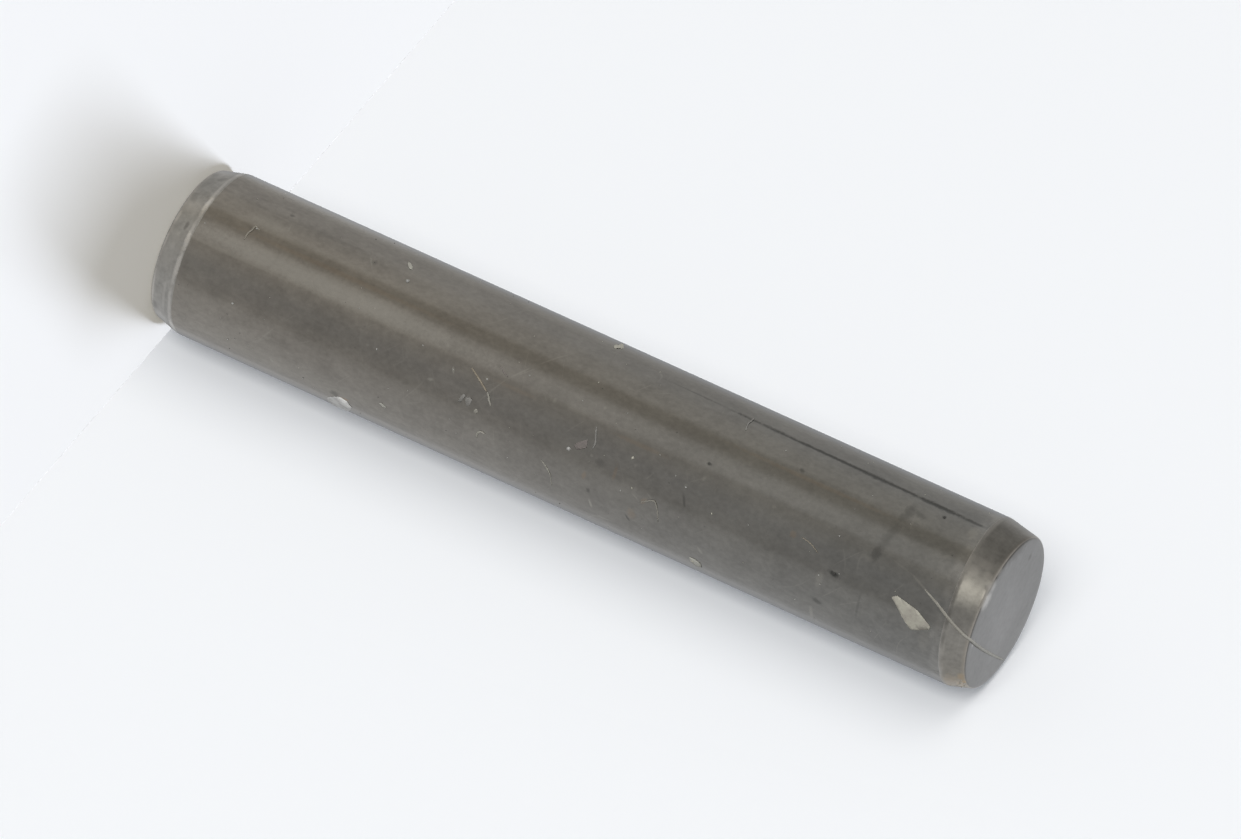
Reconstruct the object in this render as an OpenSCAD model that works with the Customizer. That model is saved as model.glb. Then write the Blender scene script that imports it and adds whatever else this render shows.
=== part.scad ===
// Parallel dowel pin, standing on one end face with its axis on Z.
// A hardened steel cylinder, ground to size, with a turned lead chamfer at each end.
// Millimetres. The origin is the centre of the lower end face.

/* [Barrel] */
// Diameter of the ground barrel
barrel_d = 3; // [2:0.1:10]
// Length of the pin from end face to end face
pin_length = 16; // [8:0.5:60]

/* [Lead chamfers] */
// Length of each chamfer along the axis, before its edges are broken
chamfer_length = 0.45; // [0.2:0.05:1]
// Angle between the chamfer and the axis
chamfer_angle = 15; // [10:1:25]

/* [Broken edges] */
// Radius that blends the barrel into the chamfer
shoulder_r = 0.3; // [0.05:0.05:0.5]
// Radius that rounds the chamfer over into the end face
rim_r = 0.06; // [0.02:0.01:0.1]

/* [Hidden] */
steel = [0.40, 0.39, 0.37];
round_faces = 96;
arc_steps = 6;

barrel_r = barrel_d / 2;
// Radius at which the chamfer would meet the end face, if that edge were sharp
chamfer_end_r = barrel_r - chamfer_length * tan(chamfer_angle);
// How far each rounding reaches past the sharp corner that it replaces
shoulder_reach = shoulder_r * tan(chamfer_angle / 2);
rim_reach = rim_r * tan((90 - chamfer_angle) / 2);

// Points on an arc about centre, from one angle to the next
function arc(centre, r, from, to) = [
    for (i = [0:arc_steps])
        let (a = from + (to - from) * i / arc_steps)
        centre + r * [cos(a), sin(a)]
];

// Outline of an end, from the barrel in to the end face. X is the radius, Y the height over the face
function end_outline() = concat(
    arc([barrel_r - shoulder_r, -chamfer_length - shoulder_reach], shoulder_r, 0, chamfer_angle),
    arc([chamfer_end_r - rim_reach, -rim_r], rim_r, chamfer_angle, 90)
);

// The same outline at the top end, and turned over at the lower end
function top_outline() = [for (p = end_outline()) [p[0], pin_length + p[1]]];
function lower_outline() = let (outline = end_outline(), last = len(outline) - 1)
    [for (i = [last:-1:0]) [outline[i][0], -outline[i][1]]];

module dowel_pin() {
    color(steel)
    rotate_extrude($fn = round_faces)
    polygon(concat([[0, 0]], lower_outline(), top_outline(), [[0, pin_length]]));
}

dowel_pin();
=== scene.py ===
import math
import random

import bmesh
import bpy
from mathutils import Matrix, Quaternion, Vector, noise


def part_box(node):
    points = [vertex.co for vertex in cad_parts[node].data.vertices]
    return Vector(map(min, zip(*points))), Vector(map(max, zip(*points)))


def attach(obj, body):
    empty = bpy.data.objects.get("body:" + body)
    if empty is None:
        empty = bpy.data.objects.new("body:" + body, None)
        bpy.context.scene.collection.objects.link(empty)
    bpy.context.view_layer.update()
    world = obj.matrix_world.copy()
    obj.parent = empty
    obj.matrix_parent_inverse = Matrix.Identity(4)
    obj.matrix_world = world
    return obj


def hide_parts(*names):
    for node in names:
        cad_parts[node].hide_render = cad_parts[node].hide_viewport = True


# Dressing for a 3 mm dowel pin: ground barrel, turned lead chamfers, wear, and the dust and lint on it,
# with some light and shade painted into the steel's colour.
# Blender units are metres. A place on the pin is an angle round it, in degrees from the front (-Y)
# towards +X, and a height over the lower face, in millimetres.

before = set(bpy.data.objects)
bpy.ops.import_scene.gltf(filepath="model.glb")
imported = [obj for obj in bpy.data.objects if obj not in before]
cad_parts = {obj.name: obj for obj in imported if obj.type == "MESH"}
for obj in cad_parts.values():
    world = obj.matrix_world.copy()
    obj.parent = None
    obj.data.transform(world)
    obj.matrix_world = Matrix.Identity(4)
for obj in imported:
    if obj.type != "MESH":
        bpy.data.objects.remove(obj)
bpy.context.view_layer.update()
pinLow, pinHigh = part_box("dowel_pin")
mm = 0.001
barrelRadius = (pinHigh.x - pinLow.x) / 2
pinLength = pinHigh.z - pinLow.z
pinMiddle = Vector((0, 0, pinLength / 2))
mergeReach = 0.0001 * mm  # points that are closer than this become one
print("frame loaded: pin", round(pinLength / mm, 2), "mm long")


def atAngle(angle, radius, height):
    # a point at an angle round the pin's axis
    turn = math.radians(angle)
    return Vector((radius * math.sin(turn), -radius * math.cos(turn), height))


def addObject(name, data):
    added = bpy.data.objects.new(name, data)
    bpy.context.scene.collection.objects.link(added)
    return added


def addMesh(name, mesh, materials):
    data = bpy.data.meshes.new(name)
    mesh.to_mesh(data)
    mesh.free()
    for material in materials:
        data.materials.append(material)
    return addObject(name, data)


cameraSetup = {
    "elevation": 18.7,           # degrees above the horizon
    "turn": 114.4,               # roll about its own axis, so that the pin lies along the frame
    "distance": 212.3 * mm,      # from the pin's middle
    "lens": 362.6,               # millimetres, with the sensor below
    "sensor": 36,
    "clipStart": 10 * mm,
    "frameSize": (1241, 839),    # pixels
    "pinPixel": (594.1, 426.6),  # where the pin's middle shows in the frame
}


def makeCamera(setup):
    data = bpy.data.cameras.new("viewCamera")
    data.lens = setup["lens"]
    data.sensor_width = setup["sensor"]
    data.clip_start = setup["clipStart"]
    camera = addObject("viewCamera", data)
    elevation = math.radians(setup["elevation"])
    back = Vector((0, -math.cos(elevation), math.sin(elevation)))
    roll = Quaternion((0, 0, 1), math.radians(setup["turn"]))
    facing = (-back).to_track_quat("-Z", "Y") @ roll
    width, height = setup["frameSize"]
    metresPerPixel = setup["distance"] * setup["sensor"] / setup["lens"] / width
    right = (setup["pinPixel"][0] - width / 2) * metresPerPixel
    down = (setup["pinPixel"][1] - height / 2) * metresPerPixel
    camera.rotation_mode = "QUATERNION"
    camera.rotation_quaternion = facing
    aim = pinMiddle - facing @ Vector((right, -down, 0))
    camera.location = aim + back * setup["distance"]
    bpy.context.scene.camera = camera


makeCamera(cameraSetup)
print("camera placed")


def plug(tree, value, socket):
    if isinstance(value, bpy.types.NodeSocket):
        tree.links.new(value, socket)
    else:
        socket.default_value = value


def newNode(tree, kind, inputs=None, **settings):
    node = tree.nodes.new("ShaderNode" + kind)
    for name, value in settings.items():
        setattr(node, name, value)
    for name, value in (inputs or {}).items():
        plug(tree, value, node.inputs[name])
    return node


def calc(tree, operation, *values):
    return newNode(tree, "Math", dict(enumerate(values)), operation=operation).outputs[0]


def stepped(tree, value, low, high, atLow=0.0, atHigh=1.0):
    # goes smoothly from one value to the other between low and high
    inputs = {"Value": value, "From Min": low, "From Max": high, "To Min": atLow, "To Max": atHigh}
    return newNode(tree, "MapRange", inputs, interpolation_type="SMOOTHSTEP").outputs[0]


def mixed(tree, share, first, second, blend="MIX"):
    node = newNode(tree, "Mix", data_type="RGBA", blend_type=blend)
    for index, value in ((0, share), (6, first), (7, second)):
        plug(tree, value, node.inputs[index])
    return node.outputs[2]


def shaded(tree, colour, shade):
    return mixed(tree, 1.0, colour, shade, "MULTIPLY")


def strongest(tree, masks):
    top = None
    for mask in masks:
        top = mask if top is None else calc(tree, "MAXIMUM", top, mask)
    return top


def objectPlace(tree, axis=None):
    # the place on the piece, or its X, Y or Z alone
    place = newNode(tree, "TexCoord").outputs["Object"]
    return newNode(tree, "SeparateXYZ", {0: place}).outputs[axis] if axis else place


def vectorCalc(tree, operation, *values):
    node = newNode(tree, "VectorMath", dict(enumerate(values)), operation=operation)
    return node.outputs["Value" if operation in ("LENGTH", "DISTANCE") else "Vector"]


def turned(tree, vector, angle, axis):
    inputs = {"Vector": vector, "Angle": angle}
    return newNode(tree, "VectorRotate", inputs, rotation_type=axis + "_AXIS").outputs[0]


def noiseAt(tree, scale, detail=2.0, roughness=0.5):
    # noise in object coordinates; scale is one number, three numbers or a vector socket
    if isinstance(scale, (int, float)):
        scale = (scale, scale, scale)
    inputs = {"Vector": vectorCalc(tree, "MULTIPLY", objectPlace(tree), scale), "Scale": 1.0}
    return newNode(tree, "TexNoise", {**inputs, "Detail": detail, "Roughness": roughness}).outputs["Fac"]


def swingAt(tree, scale, detail, roughness):
    # the same noise, swinging about zero
    return calc(tree, "SUBTRACT", noiseAt(tree, scale, detail, roughness), 0.5)


def paint(red, green, blue):
    return (red, green, blue, 1.0)


def newGroup(name, inputs, outputs):
    # a node group whose inputs are numbers or vectors and whose outputs are numbers
    tree = bpy.data.node_groups.new(name, "ShaderNodeTree")
    for label, default in inputs.items():
        kind = "NodeSocketVector" if isinstance(default, tuple) else "NodeSocketFloat"
        tree.interface.new_socket(label, in_out="INPUT", socket_type=kind).default_value = default
    for label in outputs:
        tree.interface.new_socket(label, in_out="OUTPUT", socket_type="NodeSocketFloat")
    given = tree.nodes.new("NodeGroupInput").outputs
    made = tree.nodes.new("NodeGroupOutput").inputs
    return tree, given, made


def useGroup(tree, group, **inputs):
    node = tree.nodes.new("ShaderNodeGroup")
    node.node_tree = group
    for name, value in inputs.items():
        plug(tree, value, node.inputs[name])
    return node.outputs


def newMaterial(name):
    material = bpy.data.materials.new(name)
    material.use_nodes = True
    tree = material.node_tree
    return material, tree, tree.nodes["Principled BSDF"].inputs


def setSurface(tree, shader, colour, metallic, roughness, relief, bump):
    values = {"Base Color": colour, "Metallic": metallic, "Roughness": roughness,
              "Normal": newNode(tree, "Bump", {"Height": relief, **bump}).outputs[0]}
    for name, value in values.items():
        plug(tree, value, shader[name])


def makeToolMarks():
    # fine lines left by a wheel or a lathe tool, drawn out along the axis or round it by the two scales
    tree, given, made = newGroup(
        "toolMarks", {"Around": 500.0, "Along": 20000.0, "Contrast": 0.1}, ("Shade", "Height"))
    scale = newNode(tree, "CombineXYZ", {0: given["Around"], 1: given["Around"], 2: given["Along"]})
    lines = noiseAt(tree, scale.outputs[0], detail=3, roughness=0.6)
    swing = calc(tree, "SUBTRACT", lines, 0.5)
    plug(tree, calc(tree, "MULTIPLY_ADD", swing, given["Contrast"], 1.0), made["Shade"])
    plug(tree, lines, made["Height"])
    return tree


def makeMottle():
    # cloudy steel: broad patches with a fine grain in them
    tree, given, made = newGroup(
        "mottle",
        {"Patch": (2000, 2000, 2000), "Patchy": 0.1, "Grain": (12000, 12000, 12000), "Grainy": 0.1},
        ("Shade", "Height"))
    broad = swingAt(tree, given["Patch"], detail=3, roughness=0.6)
    fine = swingAt(tree, given["Grain"], detail=2, roughness=0.6)
    grainy = calc(tree, "MULTIPLY_ADD", fine, given["Grainy"], 1.0)
    plug(tree, calc(tree, "MULTIPLY_ADD", broad, given["Patchy"], grainy), made["Shade"])
    plug(tree, fine, made["Height"])
    return tree


def makeEdgeRub():
    # a ragged band round the pin at one height, where an edge is rubbed bare
    tree, given, made = newGroup(
        "edgeRub", {"Height": 0.0, "Width": 0.1 * mm, "Ragged": 0.05 * mm, "Missing": 0.4}, ("Mask",))
    over = calc(tree, "SUBTRACT", objectPlace(tree, "Z"), given["Height"])
    waver = swingAt(tree, 2600, detail=4, roughness=0.7)
    edge = calc(tree, "MULTIPLY_ADD", waver, given["Ragged"], over)
    away = calc(tree, "DIVIDE", calc(tree, "ABSOLUTE", edge), given["Width"])
    broken = noiseAt(tree, 1500, detail=5, roughness=0.75)
    bare = calc(tree, "MULTIPLY_ADD", given["Missing"], 0.5, 0.15)
    kept = stepped(tree, broken, bare, calc(tree, "ADD", bare, 0.25))
    plug(tree, calc(tree, "MULTIPLY", stepped(tree, away, 0.2, 1.0, 1.0, 0.0), kept), made["Mask"])
    return tree


def makeDustFilm():
    # settled dust and dried oil: patches within patches
    tree, given, made = newGroup(
        "dustFilm", {"Patches": 500.0, "Grain": 12000.0, "Cover": 0.5}, ("Mask",))
    broad, fine = (
        noiseAt(tree, newNode(tree, "CombineXYZ", dict.fromkeys(range(3), given[label])).outputs[0], detail)
        for label, detail in (("Patches", 4), ("Grain", 2))
    )
    start = calc(tree, "SUBTRACT", 0.75, calc(tree, "MULTIPLY", given["Cover"], 0.5))
    end = calc(tree, "ADD", start, 0.22)
    patches = newNode(tree, "MapRange", {"Value": broad, "From Min": start, "From Max": end})
    plug(tree, calc(tree, "MULTIPLY", patches.outputs[0], fine), made["Mask"])
    return tree


def makeHairScratches():
    # short curved hairlines, as wiping leaves them
    tree, given, made = newGroup(
        "hairScratches", {"Spread": (1500, 1500, 600), "Lean": 0.6, "Thin": 0.012, "Cover": 0.5}, ("Mask",))
    leaned = turned(tree, objectPlace(tree), given["Lean"], "Y")
    spread = vectorCalc(tree, "MULTIPLY", leaned, given["Spread"])
    field = newNode(tree, "TexNoise", {"Vector": spread, "Scale": 1.0, "Detail": 0.4}).outputs["Fac"]
    ridge = calc(tree, "ABSOLUTE", calc(tree, "SUBTRACT", field, 0.5))
    line = stepped(tree, ridge, calc(tree, "MULTIPLY", given["Thin"], 0.3), given["Thin"], 1.0, 0.0)
    start = calc(tree, "SUBTRACT", 0.8, calc(tree, "MULTIPLY", given["Cover"], 0.5))
    gate = stepped(tree, noiseAt(tree, 2100, detail=2), start, calc(tree, "ADD", start, 0.15))
    plug(tree, calc(tree, "MULTIPLY", line, gate), made["Mask"])
    return tree


def makeSoftMark():
    # one soft mark: an ellipse on the surface, turned to its place and leaned in its own plane
    tree, given, made = newGroup(
        "softMark",
        {"Centre": (0, 0, 0), "Turn": 0.0, "Lean": 0.0, "Reach": (mm, mm, mm), "Waver": 0.0,
         "Strength": 1.0},
        ("Mask",))
    local = vectorCalc(tree, "SUBTRACT", objectPlace(tree), given["Centre"])
    leaned = turned(tree, turned(tree, local, given["Turn"], "Z"), given["Lean"], "Y")
    away = vectorCalc(tree, "LENGTH", vectorCalc(tree, "DIVIDE", leaned, given["Reach"]))
    soft = stepped(tree, calc(tree, "ADD", away, given["Waver"]), 0.3, 1.15, 1.0, 0.0)
    plug(tree, calc(tree, "MULTIPLY", soft, given["Strength"]), made["Mask"])
    return tree


toolMarks = makeToolMarks()
mottle = makeMottle()
edgeRub = makeEdgeRub()
dustFilm = makeDustFilm()
hairScratches = makeHairScratches()
softMark = makeSoftMark()
print("shared effects made")


def markMask(tree, marks):
    # the strongest of several soft marks, each: angle, height, reach round and along in mm, lean, strength
    waver = calc(tree, "MULTIPLY", swingAt(tree, 16000, detail=3, roughness=0.65), 1.1)
    return strongest(tree, (
        useGroup(tree, softMark, Centre=onPin(angle, height), Turn=-math.radians(angle),
                 Lean=-math.radians(lean), Reach=(around * mm, mm, along * mm), Waver=waver,
                 Strength=strength)["Mask"]
        for angle, height, around, along, lean, strength in marks
    ))


pinShape = {
    "chamferLength": 0.45 * mm,
    "chamferAngle": math.radians(15),
    "shoulderRadius": 0.3 * mm,
    "rimRadius": 0.06 * mm,
    "facesRound": 360,
    "barrelCuts": 119,
    "chamferCuts": 9,
    "faceCuts": 14,
    "cornerSteps": 6,
}
chamferFall = pinShape["chamferLength"] * math.tan(pinShape["chamferAngle"])


def radiusAt(height):
    # of the sharp-cornered outline, at a height in metres
    past = pinShape["chamferLength"] - min(height, pinLength - height)
    return barrelRadius - max(0.0, past) * math.tan(pinShape["chamferAngle"])


def onPin(angle, height, lift=0.0):
    return atAngle(angle, radiusAt(height * mm) + lift * mm, height * mm)


pinWear = {
    "plainShare": 0.6,            # of the radius: the end faces stay plain inside it
    "shoulderWaver": 0.012 * mm,  # how far the turned shoulders wander
    "waverScale": 1.6 / mm,
    "waverReach": 0.12 * mm,
    # the upper chamfer was turned a little off centre, which dies away down the barrel
    "offCentre": {"shift": -0.03 * mm, "swing": 0.10 * mm, "reach": 1.0 * mm},
    "scratch": {
        "angles": (-54.2, -51.0),
        "heights": (10.1 * mm, 15.4 * mm),
        "width": 0.022 * mm,
        "depth": 0.010 * mm,
        "fades": (8, 20),  # how fast it deepens from its lower and its upper end
    },
    "nicks": (  # angle, height, reach, depth
        (-33, 0.42, 0.1, 0.012),
        (4, 0.4, 0.09, 0.01),
        (31, 0.46, 0.08, 0.01),
        (-12, 15.98, 0.07, 0.016),
        (47, 15.97, 0.06, 0.012),
        (63, 15.52, 0.12, 0.012),
        (-128, 0.44, 0.1, 0.014),
        (152, 15.96, 0.1, 0.02),
        (118, 15.55, 0.1, 0.012),
    ),
}


def wearPin(mesh, wear):
    # each dent and shift is a bell curve, which is left out where it has all but died away
    lowShoulder, highShoulder = pinShape["chamferLength"], pinLength - pinShape["chamferLength"]
    offCentre, scratch = wear["offCentre"], wear["scratch"]
    lowEnd, highEnd = scratch["heights"]
    lowFade, highFade = scratch["fades"]
    nicks = [(onPin(*nick[:2]), nick[2] * mm, nick[3] * mm) for nick in wear["nicks"]]
    for vert in mesh.verts:
        out = Vector((vert.co.x, vert.co.y, 0))
        if out.length < barrelRadius * wear["plainShare"]:
            continue
        out.normalize()
        inward = 0.0
        height = vert.co.z
        # the shift falls to nothing at the rim too
        span = pinLength - highShoulder if height > highShoulder else offCentre["reach"]
        near = max(0.0, 1 - abs(height - highShoulder) / span)
        vert.co.z += near * (offCentre["shift"] + offCentre["swing"] * out.x)
        for shoulder in (lowShoulder, highShoulder):
            away = (height - shoulder) / wear["waverReach"]
            if abs(away) < 2.5:
                waver = wear["shoulderWaver"] * noise.noise(vert.co * wear["waverScale"])
                vert.co.z += waver * math.exp(-away ** 2)
        share = (height - lowEnd) / (highEnd - lowEnd)
        if 0 < share < 1:
            lowAngle, highAngle = scratch["angles"]
            bottom = atAngle(lowAngle * (1 - share) + highAngle * share, 1, 0)
            across = (out.y * bottom.x - out.x * bottom.y) * barrelRadius / scratch["width"]
            if abs(across) < 4 and out.dot(bottom) > 0:
                depth = scratch["depth"] * min(1, share * lowFade, (1 - share) * highFade)
                inward += depth * math.exp(-across ** 2)
        for centre, reach, depth in nicks:
            if abs(height - centre.z) < 2 * reach:
                away = (vert.co - centre).length / reach
                inward += depth * math.exp(-away ** 2 * 2)
        vert.co -= out * inward


def makePin(materials):
    endRadius = barrelRadius - chamferFall
    outline = (
        (0, 0),
        (endRadius, 0),
        (barrelRadius, pinShape["chamferLength"]),
        (barrelRadius, pinLength - pinShape["chamferLength"]),
        (endRadius, pinLength),
        (0, pinLength),
    )
    mesh = bmesh.new()
    corners = [mesh.verts.new((radius, 0, height)) for radius, height in outline]
    for pair in zip(corners, corners[1:]):
        mesh.edges.new(pair)
    shoulderReach = pinShape["shoulderRadius"] * math.tan(pinShape["chamferAngle"] / 2)
    rimReach = pinShape["rimRadius"] * math.tan((math.pi / 2 - pinShape["chamferAngle"]) / 2)
    for points, reach in ((corners[2:4], shoulderReach), (corners[1::3], rimReach)):
        bmesh.ops.bevel(mesh, geom=points, offset=reach, offset_type="OFFSET", affect="VERTICES",
                        segments=pinShape["cornerSteps"], profile=0.5, material=-1)
    # the long edges that are left are the faces, the chamfers and the barrel
    for shortest, longest, cuts in (
        (barrelRadius * 2, pinLength, pinShape["barrelCuts"]),
        (endRadius * 0.9, endRadius, pinShape["faceCuts"]),
        (pinShape["chamferLength"] * 0.6, pinShape["chamferLength"], pinShape["chamferCuts"]),
    ):
        runs = [edge for edge in mesh.edges if shortest < edge.calc_length() < longest]
        bmesh.ops.subdivide_edges(mesh, edges=runs, cuts=cuts)
    bmesh.ops.spin(mesh, geom=mesh.verts[:] + mesh.edges[:], cent=(0, 0, 0), axis=(0, 0, 1), dvec=(0, 0, 0),
                   angle=math.tau, steps=pinShape["facesRound"], use_merge=True)
    bmesh.ops.remove_doubles(mesh, verts=mesh.verts, dist=mergeReach)
    bmesh.ops.recalc_face_normals(mesh, faces=mesh.faces)
    # the barrel keeps the first material, and the chamfers and the end faces get the others
    for face in mesh.faces:
        face.smooth = True
        height = face.calc_center_median().z
        if abs(face.normal.z) > 0.75:
            face.material_index = 2
        elif min(height, pinLength - height) < pinShape["chamferLength"] + shoulderReach:
            face.material_index = 1
    wearPin(mesh, pinWear)
    return addMesh("dowelPin", mesh, materials)


shoulderWearAndHighlights = {
    "lower": {"Height": 0.43 * mm, "Width": 0.048 * mm, "Ragged": 0.09 * mm, "Missing": 0.36},
    "lowerShare": 0.40,
    "upper": {"Width": 0.16 * mm, "Ragged": 0.12 * mm, "Missing": 0.42},
    "upperHeight": 15.41 * mm,
    "upperShare": 0.15,
    # the far shoulder's marks are rubbed wear; the long band low on the barrel is painted reflection, and
    # those by the upper shoulder are painted highlight
    "bright": (  # angle, height, reach round, reach along, lean, strength
        (-28, 0.435, 0.3, 0.055, 0, 1),
        (-1, 0.44, 0.24, 0.06, 0, 1),
        (17, 0.445, 0.34, 0.055, 0, 1),
        (73, 0.44, 0.32, 0.065, 0, 1),
        (-73, 0.43, 0.25, 0.06, 0, 0.8),
        (-80, 2, 0.32, 2.8, 0, 0.4),
        (33, 15.38, 0.14, 0.07, 0, 0.16),
        (57, 15.62, 0.14, 0.04, 0, 0.22),
        (42, 15.605, 0.3, 0.045, 0, 0.2),
        (-63, 15.39, 0.12, 0.06, 0, 0.1),
    ),
}


def shoulderRubAndHighlight(tree):
    # the two shoulders, in one mask for the barrel and the chamfers: rubbed wear, with painted highlights
    # from some of the marks
    wear = shoulderWearAndHighlights
    swing = pinWear["offCentre"]["swing"] / barrelRadius
    tilted = calc(tree, "MULTIPLY_ADD", objectPlace(tree, "X"), swing, wear["upperHeight"])
    lower = useGroup(tree, edgeRub, **wear["lower"])["Mask"]
    upper = useGroup(tree, edgeRub, Height=tilted, **wear["upper"])["Mask"]
    lower = calc(tree, "MULTIPLY", lower, wear["lowerShare"])
    upper = calc(tree, "MULTIPLY", upper, wear["upperShare"])
    return strongest(tree, (lower, upper, markMask(tree, wear["bright"])))


barrelFinish = {
    "lowerSteel": paint(0.240, 0.224, 0.202),  # browner towards the lower end
    "upperSteel": paint(0.178, 0.177, 0.170),
    "filmAndPaintedLight": paint(0.34, 0.33, 0.30),
    "rubbedAndPaintedHighlight": paint(0.56, 0.54, 0.51),
    "sootAndPaintedShade": paint(0.050, 0.052, 0.050),
    "rust": paint(0.30, 0.22, 0.15),
    "clouds": {"Patch": (3200, 3200, 2200), "Patchy": 0.36, "Grain": (13000, 13000, 9500), "Grainy": 0.42},
    "broadScale": (900, 900, 500),
    "broadShade": (0.965, 1.03),
    "grinding": {"Around": 9000.0, "Along": 500.0, "Contrast": 0.12},
    "dust": {"Patches": 420.0, "Grain": 14000.0, "Cover": 0.6},
    "dustShare": 0.3,
    "hairs": {"Spread": (1900, 700, 300), "Thin": 0.007, "Cover": 0.62},
    "hairLeans": ((0.7, 0.26), (-1.1, 0.20)),  # lean in radians, strength
    "roughness": 0.10,
    "dirtyRoughness": 0.24,
    "bump": {"Strength": 0.25, "Distance": 0.0015 * mm},
    # the short marks are dark specks and the scratch; the long bands along the barrel are painted shade in
    # mirrored bands, and the marks by the upper shoulder are painted shade
    "sootAndPaintedShadeMarks": (  # angle, height, reach round, reach along, lean, strength
        (-52.6, 12.75, 0.05, 2.9, 0.9, 0.75),
        (-53.5, 11.3, 0.058, 0.6, 0.6, 0.55),
        (-52.1, 13.3, 0.068, 0.7, 0.6, 0.7),
        (-51.5, 14.45, 0.066, 0.75, 0.6, 0.75),
        (-51, 15.1, 0.05, 0.3, 0, 0.6),
        (-54.6, 9.75, 0.022, 0.7, 0.5, 0.35),
        (-44, 14.67, 0.05, 0.05, 0, 0.65),
        (-36, 14.12, 0.2, 0.11, 0, 0.36),
        (-37.5, 14.29, 0.08, 0.14, 20, 0.3),
        (-30, 14.07, 0.16, 0.08, 0, 0.28),
        (-13, 14.03, 0.6, 0.12, 8, 0.25),
        (-1.5, 13.98, 0.19, 0.1, 0, 0.42),
        (38, 13.96, 0.34, 0.03, 0, 0.2),
        (-9, 10.64, 0.04, 0.06, 0, 0.65),
        (-31, 12.12, 0.05, 0.07, 30, 0.45),
        (-50, 1.81, 0.05, 0.06, 0, 0.4),
        (-42, 3.57, 0.1, 0.07, 30, 0.3),
        (-46, 2.1, 0.08, 2.2, 0, 0.14),
        (-41, 2.6, 0.12, 3, 0, 0.09),
        (12, 2.4, 0.34, 3.2, 0, 0.13),
        (-16, 13, 0.42, 3.4, 0, 0.06),
        (-5.4, 12.3, 0.07, 2.6, 0, 0.14),
        (-84, 11.4, 0.15, 5.6, 0, 0.32),
        (68, 3.6, 0.06, 3.6, 0, 0.1),
        (-8, 15.37, 0.14, 0.08, 0, 0.22),
        (12, 15.38, 0.16, 0.07, 0, 0.16),
        (-30, 12.3, 0.05, 2.6, 0, 0.1),
        (23, 13.41, 0.06, 0.13, 10, 0.75),
        (19.5, 10.475, 0.14, 0.035, -23, 0.4),
        (51, 9.53, 0.028, 0.1, 51, 0.5),
        (43, 8.745, 0.06, 0.05, 0, 0.4),
        (48, 13.2, 0.07, 0.12, 20, 0.45),
        (61.5, 3.74, 0.09, 0.12, -30, 0.45),
        (20, 8.86, 0.1, 0.12, 0, 0.2),
    ),
    "rustMarks": (
        (10, 12.5, 0.08, 0.07, 0, 0.3),
        (46, 9.6, 0.14, 0.1, 0, 0.22),
        (22, 9.15, 0.16, 0.04, 0, 0.25),
        (33, 8.62, 0.09, 0.05, 0, 0.3),
        (-1, 6.95, 0.05, 0.5, 0, 0.13),
        (32, 9.78, 0.09, 0.05, 30, 0.3),
        (-1.5, 9.4, 0.05, 0.6, 0, 0.18),
        (-23, 3.2, 0.06, 2.6, 0, 0.16),
        (-27, 12.4, 0.05, 1.8, 0, 0.16),
        (62.3, 3.96, 0.035, 0.1, 0, 0.6),
    ),
    # the long bands along the barrel are painted reflection, lifting mirrored bands; the short marks are
    # dust and oil
    "filmAndPaintedLightMarks": (
        (-11, 3.1, 0.26, 3.4, 0, 0.42),
        (-34, 1.6, 0.2, 0.5, 0, 0.3),
        (-4.5, 1.3, 0.05, 1.7, 0, 0.28),
        (-76, 2.6, 0.42, 3.4, 0, 0.3),
        (-42, 15.25, 0.18, 0.12, 0, 0.45),
        (-64, 15.38, 0.3, 0.08, 0, 0.2),
        (41, 15.25, 0.34, 0.15, 0, 0.22),
        (0.2, 14.5, 0.026, 0.28, 13, 0.2),
        (5.6, 14.92, 0.028, 0.4, 24, 0.42),
        (4.4, 5.8, 0.026, 0.07, 62, 0.9),
        (44, 1.8, 0.2, 1.6, 0, 0.12),
        (-30, 1.8, 0.08, 1.4, 0, 0.16),
        (57, 2.6, 0.3, 3, 0, 0.24),
        (79, 2.6, 0.15, 3, 0, 0.2),
        (-31.5, 2.6, 0.07, 3, 0, 0.14),
        (56, 2.5, 0.1, 0.045, -35, 0.55),
        (16, 5.48, 0.035, 0.07, -20, 0.85),
        (12.5, 4.38, 0.035, 0.035, 0, 0.5),
        (12.5, 4.2, 0.03, 0.04, 0, 0.35),
        (30, 13.18, 0.2, 0.09, 0, 0.35),
        (62, 13.1, 0.24, 0.05, 0, 0.4),
        (51, 10.95, 0.11, 0.04, -40, 0.4),
        (-38, 1.93, 0.13, 0.022, -10, 0.35),
        (-41, 3.52, 0.16, 0.025, -35, 0.4),
        (18, 8.66, 0.04, 0.04, 0, 0.45),
        (12, 9.45, 0.05, 0.035, 0, 0.35),
        (35, 9.5, 0.5, 0.7, 0, 0.12),
        (10, 10.42, 0.04, 0.04, 0, 0.35),
        (1, 10.67, 0.06, 0.04, 30, 0.4),
        (-1, 12, 0.05, 0.05, 0, 0.35),
        (24, 8.42, 0.08, 0.16, 0, 0.2),
        (-14, 8.535, 0.04, 0.04, 0, 0.4),
        (-5.3, 7.68, 0.05, 0.04, 0, 0.3),
        (6.4, 6.57, 0.02, 0.36, -60, 0.4),
        (-12.5, 6.906, 0.018, 0.27, -51, 0.3),
        (-31, 7.3, 0.018, 0.38, -51, 0.3),
        (53.5, 8.805, 0.03, 0.13, 72, 0.65),
        (0.5, 6.42, 0.04, 0.05, 0, 0.5),
        (31.4, 9.6, 0.02, 0.15, 30, 0.4),
        (26.9, 9.86, 0.02, 0.1, 32, 0.35),
    ),
}


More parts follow.
